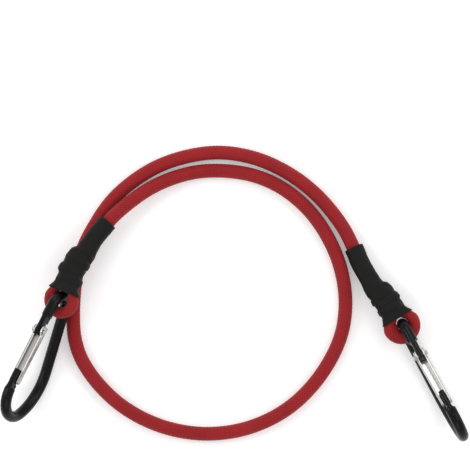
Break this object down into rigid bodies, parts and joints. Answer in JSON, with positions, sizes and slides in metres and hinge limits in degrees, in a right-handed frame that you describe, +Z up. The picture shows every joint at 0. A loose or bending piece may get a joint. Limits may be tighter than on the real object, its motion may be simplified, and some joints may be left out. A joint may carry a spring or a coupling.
{
  "type": "bungee cord",
  "caption": "Elastic bungee cord in a red braided cover, looped at each end through a black snap hook and held in a black shrunk sleeve, lying in a loose loop.",
  "frame": {"origin": "on the surface that the cord lies on, under the middle of the box round the hooks and sleeves", "axes": "+X from the left hook to the right hook, +Y from the hooks' baskets towards the crossing strands, +Z up from the surface"},
  "size_m": [0.2662, 0.1683, 0.0409],
  "materials": {
    "cord_cover": "red braided polyester",
    "rubber_core": "natural rubber strands",
    "sleeve": "matte black shrink tube",
    "crimp_ring": "plain zinc-coated steel",
    "carabiner_frame": "glossy black coating",
    "gate": "satin bare metal",
    "hinge_rivet": "plain steel",
    "gate_spring": "spring steel"
  },
  "bodies": {
    "elastic_cord": {"cord_cover": "cord_cover", "rubber_core": "rubber_core", "left_sleeve": "sleeve", "left_crimp_ring_1": "crimp_ring", "left_crimp_ring_2": "crimp_ring", "left_crimp_ring_3": "crimp_ring", "right_sleeve": "sleeve", "right_crimp_ring_1": "crimp_ring", "right_crimp_ring_2": "crimp_ring", "right_crimp_ring_3": "crimp_ring"},
    "left_carabiner": {"left_carabiner_frame": "carabiner_frame", "left_hinge_rivet": "hinge_rivet", "left_gate_spring": "gate_spring"},
    "left_gate": {"left_gate": "gate"},
    "right_carabiner": {"right_carabiner_frame": "carabiner_frame", "right_hinge_rivet": "hinge_rivet", "right_gate_spring": "gate_spring"},
    "right_gate": {"right_gate": "gate"}
  },
  "joints": [
    {"name": "left_carabiner_swing", "type": "hinge", "parent": "elastic_cord", "child": "left_carabiner", "pos_m": [-0.0988, 0.0146, 0.0169], "axis": [0, 0, 1], "range_deg": [-22, 0]},
    {"name": "left_gate_hinge", "type": "hinge", "parent": "left_carabiner", "child": "left_gate", "pos_m": [-0.11073, -0.00051, 0.02561], "axis": [0.8168, -0.3216, 0.4789], "range_deg": [0, 28], "stiffness_Nm_per_rad": 0.05, "springref_deg": -22.92, "deforming": ["left_gate_spring"]},
    {"name": "right_carabiner_swing", "type": "hinge", "parent": "elastic_cord", "child": "right_carabiner", "pos_m": [0.09603, 0.00319, 0.0107], "axis": [0, 0, 1], "range_deg": [-70, 105]},
    {"name": "right_gate_hinge", "type": "hinge", "parent": "right_carabiner", "child": "right_gate", "pos_m": [0.10616, -0.01453, 0.02416], "axis": [0.8836, 0.4653, -0.0523], "range_deg": [0, 28], "stiffness_Nm_per_rad": 0.05, "springref_deg": -22.92, "deforming": ["right_gate_spring"]}
  ]
}
